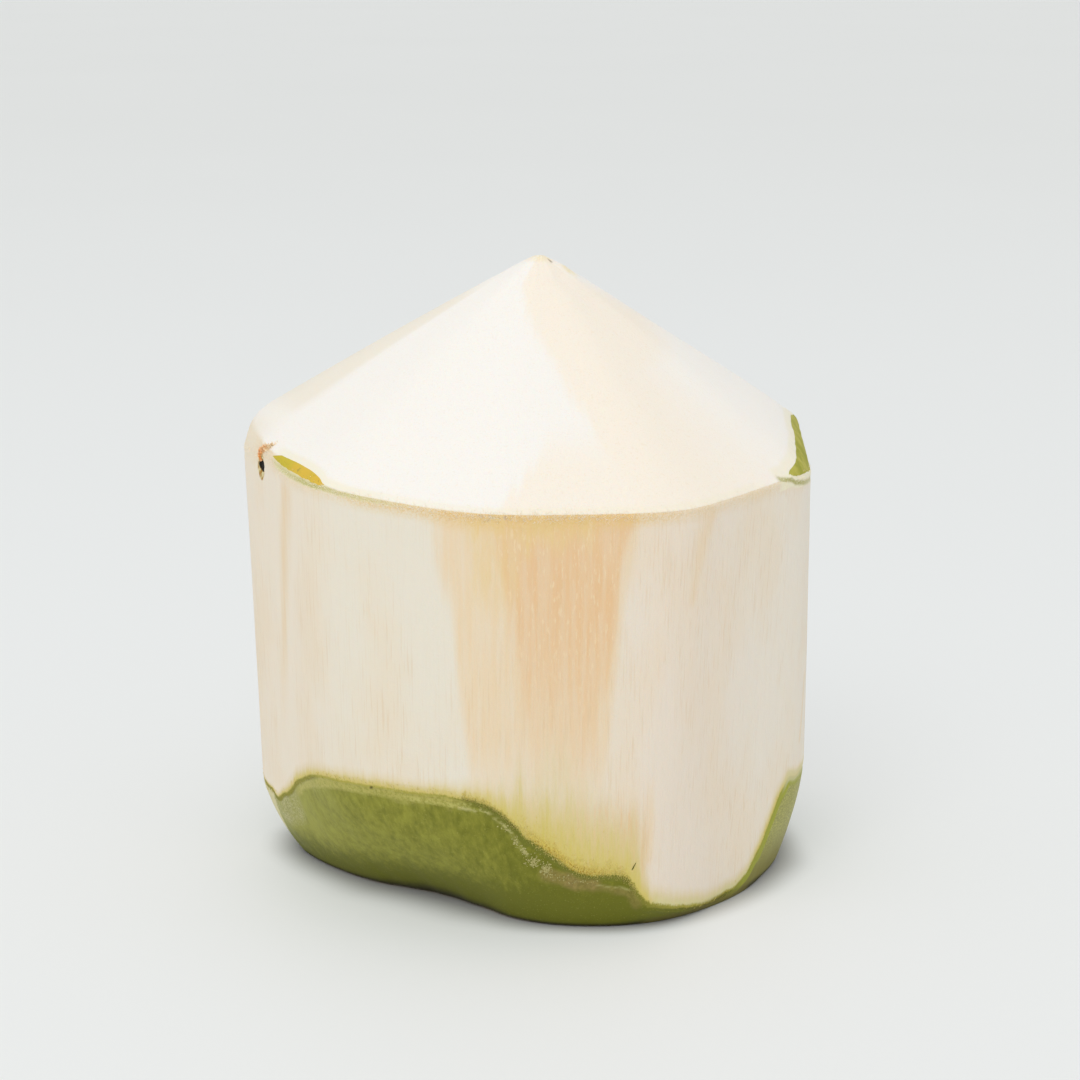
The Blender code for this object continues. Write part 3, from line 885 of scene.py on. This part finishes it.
huskPaint = dict(
    # painted light: the left side warmer and lighter
    paintedLightLeft=paint(240, 228, 209),
    sideWhite=paint(234, 226, 209),
    sideRight=paint(236, 223, 206),
    sideFar=paint(237, 228, 213),
    sidePale=paint(236, 212, 176),
    sidePeach=paint(234, 197, 152),
    sideGold=paint(234, 206, 148),
    peachSpeck=paint(242, 219, 182),
    fibreTan=paint(214, 180, 132),
    coneWhite=paint(247, 242, 234),
    conePeach=paint(248, 237, 221),
    coneCream=paint(238, 228, 208),
    fuzzGold=paint(229, 196, 129),
    washTan=paint(222, 192, 138),
    washOrange=paint(230, 192, 142),
    washWarm=paint(224, 206, 156),
    washYellow=paint(212, 195, 104),
    lime=paint(172, 162, 66),
    washPale=paint(214, 198, 126),
    washCream=paint(216, 208, 152),
    washGold=paint(214, 190, 84),
    stipple=paint(172, 138, 40),
    fringeDark=paint(116, 118, 42),
    oliveRim=paint(140, 136, 58),
    bevel=paint(184, 176, 94),
    innerLine=paint(190, 186, 104),
    skinLight=paint(158, 157, 58),
    skinDark=paint(108, 110, 20),
    skinGrey=paint(186, 181, 126),
    skinShadow=paint(150, 147, 82),
    skinSpeck=paint(184, 182, 96),
    oliveEnd=paint(148, 145, 76),
    # painted shade for the lowest part of the olive patch
    oliveLow=paint(134, 128, 56),
    oliveSpeck=paint(180, 178, 98),
    limeEdge=paint(158, 161, 58),
    creamTop=paint(218, 210, 168),
    cutEnd=paint(220, 210, 160),
    # foot and sole: dirt and painted shade along the floor
    foot=paint(48, 42, 16),
    sole=paint(108, 100, 46),
    scab=paint(154, 137, 78),
    scabShade=paint(138, 122, 68),
    scabRim=paint(196, 190, 124),
    tick=paint(76, 70, 28),
    mustard=paint(204, 184, 58),
    mustardWarm=paint(222, 184, 68),
    sliverGreen=paint(186, 179, 82),
    rindCone=paint(243, 235, 210),
    rindSide=paint(226, 218, 170),
    rindRight=paint(240, 234, 206),
    rimOlive=paint(188, 181, 116),
    rimDark=paint(172, 167, 100),
    # painted shade: near black inside the split's hole
    holePaintedShade=paint(24, 22, 12),
    splitGold=paint(176, 134, 66),
    baseCut=paint(206, 188, 148),
    tipGold=paint(244, 228, 186),
    tipDot=paint(120, 96, 60),
)
huskFinish = dict(
    dull=0.8,                      # roughness of the bare husk
    glossy=0.46,                   # and of the skin
    specular=0.22,
    glowShare=0.12,                # how much light goes in under the surface, how far, and in which colours
    glowDepth=0.003,
    glowColours=(1.0, 0.65, 0.4),
    bumpStrength=0.6,
    bumpHeight=0.0003,
)


# the husk and the skin: paints laid one over another from the bottom up, each with its share
def huskMaterial():
    m = Bench("peeledHuskAndSkin")
    field, between, mix = m.field, m.between, m.mix

    def times(first, second):
        return m.math("MULTIPLY", first, second)

    def plus(first, second):
        return m.math("ADD", first, second)

    def less(first, second):
        return m.math("SUBTRACT", first, second)

    def blend(share, first, second):   # from one of the husk's paints to another
        return mix(share, huskPaint[first], huskPaint[second])

    def broken(name, noise, low, high, least=0.0, most=1.0):      # a field broken up by a noise
        return times(field(name), between(noise, low, high, least, most))

    def coats(under, *layers):         # each layer is a paint's name or a colour, and its share
        for colour, share in layers:
            under = mix(share, under, huskPaint[colour] if isinstance(colour, str) else colour)
        return under

    streak = m.noise(850, (1, 1, 0.055), 3, 0.6)                      # fibres about 1 mm apart, 20 mm long
    hair = m.noise(2400, (1, 1, 0.03), 2, 0.6, (0.3, 0.1, 0))         # finer and longer fibres
    tuft = m.noise(1500, (1, 1, 0.11), 2, 0.6, (0.5, 0.2, 0.3))       # streaks 0.7 mm wide, 6 mm long
    dash = m.noise(1900, (1, 1, 0.22), 2, 0.6, (0.1, 0.6, 0))         # short dashes
    cloud = m.noise(70, (1, 1, 0.45), 3, 0.5, (0.2, 0.5, 0.1))
    grain = m.noise(2600, (1, 1, 1), 2, 0.6)
    mottle = m.noise(330, (1, 1, 0.4), 3, 0.6, (0.7, 0, 0.2))
    crust = m.noise(1300, (1, 1, 1), 3, 0.65, (0.4, 0.4, 0))
    vein = m.noise(800, (1, 1, 0.3), 3, 0.65, (0.9, 0.3, 0))          # short upright streaks in the skin
    above, washWidth, fringeDark = field("aboveSkin"), field("washWidth"), field("fringeDark")
    cone, scab = field("cone"), field("scab")
    notCone = less(1.0, cone)
    xyz = m.add("ShaderNodeSeparateXYZ")
    m.put(xyz.inputs[0], m.place)
    across = xyz.outputs[0]

    # sides: white, with painted light making the left warmer and lighter, pinker to the right of the middle,
    # then the peach patches and fine fibres
    side = coats(
        blend(between(across, -0.052, -0.038), "paintedLightLeft", "sideWhite"),
        ("sideRight", between(across, 0.004, 0.024)),
        ("sideFar", between(across, 0.030, 0.050)),
        ("sidePale", times(between(cloud, 0.42, 0.72), 0.3)),
        ("sidePale", broken("peachPale", streak, 0.3, 0.7, 0.62, 0.92)),
        ("sidePeach", broken("peachDark", streak, 0.36, 0.64, 0.62, 1.0)),
        ("sideGold", broken("gold", tuft, 0.3, 0.65, 0.35, 0.85)),
        ("fibreTan", times(between(hair, 0.52, 0.72), between(cloud, 0.38, 0.62, 0.04, 0.24))),
        ("peachSpeck", times(broken("peachDark", dash, 0.56, 0.70), 0.6)),
        ("fuzzGold", broken("fuzz", grain, 0.42, 0.60, 0.35, 0.85)),
        ("washPale", broken("lowWash", above, 1.0, 14.0, 0.6, 0.0)),
        ("washTan", broken("lowWash", streak, 0.35, 0.62, 0.45, 0.9)),
        ("washOrange", broken("lowWash", tuft, 0.50, 0.64, 0.0, 0.75)),
    )
    # cone: nearly white, warm bands, and ochre marks by the tip
    top = coats(
        blend(field("conePeach"), "coneWhite", "conePeach"),
        ("fuzzGold", times(between(grain, 0.56, 0.70), 0.12)),
        ("sidePale", times(broken("conePeach", tuft, 0.60, 0.74), 0.2)),
        ("tipGold", broken("tipSmear", crust, 0.38, 0.58, 0.5, 1.0)),
        ("tipDot", times(field("tipDot"), 0.65)),
    )

    # towards the skin: a warm wash, yellow, lime and the dark cut fringe, all with a stippled edge
    jitter = plus(times(less(hair, 0.5), 1.5), times(less(grain, 0.5), 2.0))
    ragged = plus(above, times(jitter, plus(times(fringeDark, 0.3), 0.35)))
    stray = times(plus(less(streak, 0.5), less(tuft, 0.5)), field("stray"))
    spread = m.math("DIVIDE", plus(above, times(stray, washWidth)), washWidth)
    yellowWash = blend(field("sole"), "washYellow", "washCream")
    stipple = broken("stipple", above, 0.4, 2.4, 1.0, 0.0)
    colour = coats(
        mix(cone, side, top),
        ("coneCream", times(field("cream"), 0.7)),
        ("washWarm", times(between(spread, 0.4, 2.2, 0.8, 0.0), notCone)),
        (yellowWash, times(between(spread, -0.1, 1.3, 0.95, 0.0), notCone)),
        ("lime", times(between(ragged, -0.2, 0.5, 0.95, 0.0), notCone)),
        ("washGold", times(stipple, 0.7)),
        ("stipple", times(stipple, between(grain, 0.50, 0.58, 0.0, 0.9))),
        ("fringeDark", times(between(ragged, -0.35, 0.45, 1.0, 0.0), fringeDark)),
    )

    # the skin: streaked and mottled, with pale specks; it starts lower where the fringe is dark
    streaky = plus(times(less(mottle, 0.5), 0.7), times(less(vein, 0.5), 1.0))
    patchy = plus(times(mottle, 0.5), times(crust, 0.5))
    granular = blend(between(grain, 0.40, 0.56), "skinShadow", "skinGrey")
    olive = coats(
        blend(between(grain, 0.44, 0.62), "oliveEnd", "oliveSpeck"),
        # painted shade low on the olive patch
        ("oliveLow", field("oliveLow")),
    )
    skin = coats(
        blend(between(plus(field("skinShade"), streaky), 0.0, 1.0), "skinLight", "skinDark"),
        ("skinSpeck", times(between(grain, 0.62, 0.70), 0.25)),
        (granular, broken("greyEnd", patchy, 0.40, 0.56, 0.45, 1.0)),
        (olive, field("oliveEnd")),
    )
    fromStart = plus(plus(above, times(jitter, 0.25)), plus(times(fringeDark, 0.95), 0.35))
    onSkin = between(fromStart, -0.25, 0.25, 1.0, 0.0)
    crumbly = plus(times(crust, 0.6), times(grain, 0.4))
    scabColour = blend(between(crust, 0.42, 0.62), "scab", "scabShade")
    colour = coats(
        colour,
        (skin, onSkin),
        ("bevel", broken("bevel", crumbly, 0.40, 0.56, 0.45, 0.95)),
        ("oliveRim", broken("oliveRim", grain, 0.40, 0.56, 0.4, 0.95)),
        ("innerLine", broken("innerLine", crust, 0.44, 0.58)),
        ("limeEdge", times(field("limeEdge"), 0.9)),
        ("creamTop", times(field("creamTop"), 0.7)),
        ("cutEnd", broken("cutEnd", ragged, -0.9, -0.3, 0.9, 0.0)),
        (scabColour, times(scab, between(mottle, 0.42, 0.6, 0.75, 1.0))),
        ("scabRim", broken("scabRim", crust, 0.40, 0.56, 0.2, 0.9)),
        # the dark foot: dirt and painted shade along the floor
        (blend(field("sole"), "foot", "sole"), m.math("MINIMUM", field("foot"), 0.88)),
        ("tick", field("tick")),
    )

    # slivers at the shoulder, the split with painted shade in its hole, and the base
    rim = blend(between(across, 0.03, 0.045), "rimOlive", "rimDark")
    green = blend(between(mottle, 0.35, 0.65), "sliverGreen", "skinLight")
    yellow = coats(
        blend(between(cloud, 0.4, 0.6), "mustard", "mustardWarm"),
        ("scab", times(between(crust, 0.60, 0.66), 0.6)),
    )
    torn = blend(between(dash, 0.46, 0.58), "splitGold", "rindSide")
    baseCut = blend(between(crust, 0.35, 0.65), "baseCut", "sidePale")
    colour = coats(
        colour,
        ("rindCone", times(field("rindCone"), 0.7)),
        ("rindSide", times(field("rindSide"), 0.8)),
        ("rindRight", times(field("rindRight"), 0.8)),
        (rim, broken("rimLine", grain, 0.3, 0.6, 0.6, 1.0)),
        (green, between(field("greenSliver"), 0.35, 0.65)),
        (yellow, between(field("mustard"), 0.35, 0.65)),
        (torn, between(field("slot"), 0.05, 0.45)),
        # painted shade fills the split's hole
        ("holePaintedShade", between(field("hole"), 0.25, 0.60)),
        (baseCut, field("base")),
    )
    m.put(m.shader.inputs["Base Color"], colour)

    # duller husk and glossier skin, with light that goes a little way in
    finish = huskFinish
    glossy = times(onSkin, less(1.0, scab))
    roughness = between(plus(glossy, times(mottle, 0.2)), 0.1, 1.2, finish["dull"], finish["glossy"])
    m.put(m.shader.inputs["Roughness"], roughness)
    m.shader.inputs["Specular IOR Level"].default_value = finish["specular"]
    m.shader.inputs["Subsurface Weight"].default_value = finish["glowShare"]
    m.shader.inputs["Subsurface Radius"].default_value = finish["glowColours"]
    m.shader.inputs["Subsurface Scale"].default_value = finish["glowDepth"]

    fibreHeight = plus(times(streak, 0.6), times(hair, 0.4))
    roughHeight = plus(times(fibreHeight, less(1.0, times(cone, 0.7))), times(grain, 0.35))
    roughHeight = times(roughHeight, less(1.0, times(onSkin, 0.7)))
    m.bump(roughHeight, finish["bumpStrength"], finish["bumpHeight"])
    return m.material


# fibres and crumbs: their tone blends between two colours
def toneMaterial(name, low, high, roughness):
    m = Bench(name)
    flecks = m.noise(1800, (1, 1, 1), 2, 0.6)
    share = m.math("ADD", m.field("tone"), m.math("MULTIPLY", m.math("SUBTRACT", flecks, 0.5), 0.5))
    m.put(m.shader.inputs["Base Color"], m.mix(m.between(share, 0.0, 1.0), low, high))
    m.shader.inputs["Roughness"].default_value = roughness
    m.shader.inputs["Specular IOR Level"].default_value = 0.25
    return m.material


# Putting the coconut together

coconut, ground = buildCoconut()
coconut.data.materials.append(huskMaterial())
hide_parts("coconut")
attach(coconut, "root")
print("husk built:", len(coconut.data.polygons), "faces")

# the builder of each small piece, its material, its two paints and its roughness
smallPieces = (
    (buildShoulderFuzz, "goldenFibre", paint(232, 210, 166), paint(250, 242, 226), 0.8),
    (buildFringeFuzz, "oliveFibre", paint(100, 100, 34), paint(224, 208, 122), 0.75),
    (buildSplitFibres, "tornFibre", paint(255, 190, 116), paint(255, 236, 204), 0.7),
    (buildCrumbs, "crustCrumb", paint(140, 128, 66), paint(188, 181, 122), 0.85),
)
for build, *finish in smallPieces:
    piece = build(ground)
    piece.data.materials.append(toneMaterial(*finish))
    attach(piece, "root")
print("fibres and crumbs built")


# Studio

studio = dict(
    floorSize=40.0,
    floorRings=(-0.2, 0, 0.15, 0.3, 0.45, 0.6, 0.8, 1.0, 1.3),     # in shares of glowRise from the foot
    floorPaint=paint(194, 194, 192),
    floorGlow=(0.302, 0.313, 0.312, 1),     # light the floor gives by itself, which keeps shadows faint
    farGlow=(0.276, 0.283, 0.274, 1),       # the same, 2 m behind the coconut
    # azimuth and metres from the foot over which the floor's own light comes in: a painted shadow round the
    # foot, where the floor gives no light of its own
    glowRise=((0, 0.008), (180, 0.010), (205, 0.011), (216, 0.014), (246, 0.014), (262, 0.009), (276, 0.006),
              (330, 0.008), (350, 0.010)),
    skyPaint=paint(248, 250, 252),
    skyStrength=0.84,
    softbox=dict(place=(-0.3, -1.1, 1.25), aim=(0, 0, 0.05), size=1.1, power=7.0),
    cameraPlace=(0.0, -0.587, 0.212),
    cameraAim=(0.0, 0.0, 0.071),
    lens=92.33,                    # 2770 pixels on a picture 1080 pixels wide and a sensor of 36 mm
)


# a flat disc with rings round the coconut's foot: the floor's own light rises from one ring to the next,
# painting a soft dark shadow round the foot
def buildFloor():
    azimuth = np.arange(0, 360, 3.0)
    foot, rise = readTable(azimuth, huskShape["foot"]), readTable(azimuth, studio["glowRise"])
    shares = np.array(studio["floorRings"])
    reach = np.array([foot + rise * share for share in shares] + [0 * azimuth + studio["floorSize"] / 2])
    glows = np.append(smooth(shares), 1)[:, None] + 0 * reach
    turn = np.radians(azimuth)
    points = np.stack([reach * np.cos(turn), reach * np.sin(turn), 0 * reach], axis=-1)
    index = np.arange(reach.size).reshape(reach.shape)
    beside = np.roll(index, -1, axis=1)
    quads = np.stack([index[:-1], index[1:], beside[1:], beside[:-1]], axis=-1).reshape(-1, 4)
    floor = makePiece("floor", points, quads.tolist() + [index[0].tolist()], {"glow": glows.reshape(-1)})
    m = Bench("paleFloor")
    faint = m.noise(3, (1, 1, 1), 2)
    darker = (*[0.97 * c for c in studio["floorPaint"][:3]], 1)
    m.put(m.shader.inputs["Base Color"], m.mix(faint, studio["floorPaint"], darker))
    xyz = m.add("ShaderNodeSeparateXYZ")
    m.put(xyz.inputs[0], m.place)
    glow = m.mix(m.between(xyz.outputs[1], -0.1, 2.0), studio["floorGlow"], studio["farGlow"])
    m.put(m.shader.inputs["Emission Color"], glow)
    # painted contact shadow: the floor gives no light of its own next to the foot
    m.put(m.shader.inputs["Emission Strength"], m.field("glow"))
    m.shader.inputs["Roughness"].default_value = 0.6
    m.shader.inputs["Specular IOR Level"].default_value = 0.2
    floor.data.materials.append(m.material)


def buildLights():
    world = bpy.data.worlds.new("softSky")
    world.use_nodes = True
    background = world.node_tree.nodes["Background"]
    background.inputs["Color"].default_value = studio["skyPaint"]
    background.inputs["Strength"].default_value = studio["skyStrength"]
    bpy.context.scene.world = world
    box = studio["softbox"]
    light = bpy.data.lights.new("softbox", "AREA")
    light.shape = "DISK"
    light.size = box["size"]
    light.energy = box["power"]
    lamp = bpy.data.objects.new("softbox", light)
    lamp.location = box["place"]
    lamp.rotation_euler = (Vector(box["aim"]) - lamp.location).to_track_quat("-Z", "Y").to_euler()
    bpy.context.scene.collection.objects.link(lamp)


def buildCamera():
    data = bpy.data.cameras.new("camera")
    data.lens = studio["lens"]
    data.sensor_width = 36
    data.clip_start = 0.01
    camera = bpy.data.objects.new("camera", data)
    camera.location = studio["cameraPlace"]
    aim = Vector(studio["cameraAim"]) - camera.location
    camera.rotation_euler = aim.to_track_quat("-Z", "Y").to_euler()
    bpy.context.scene.collection.objects.link(camera)
    bpy.context.scene.camera = camera


buildFloor()
buildLights()
buildCamera()
bpy.context.scene.view_settings.view_transform = "Standard"
print("studio built")
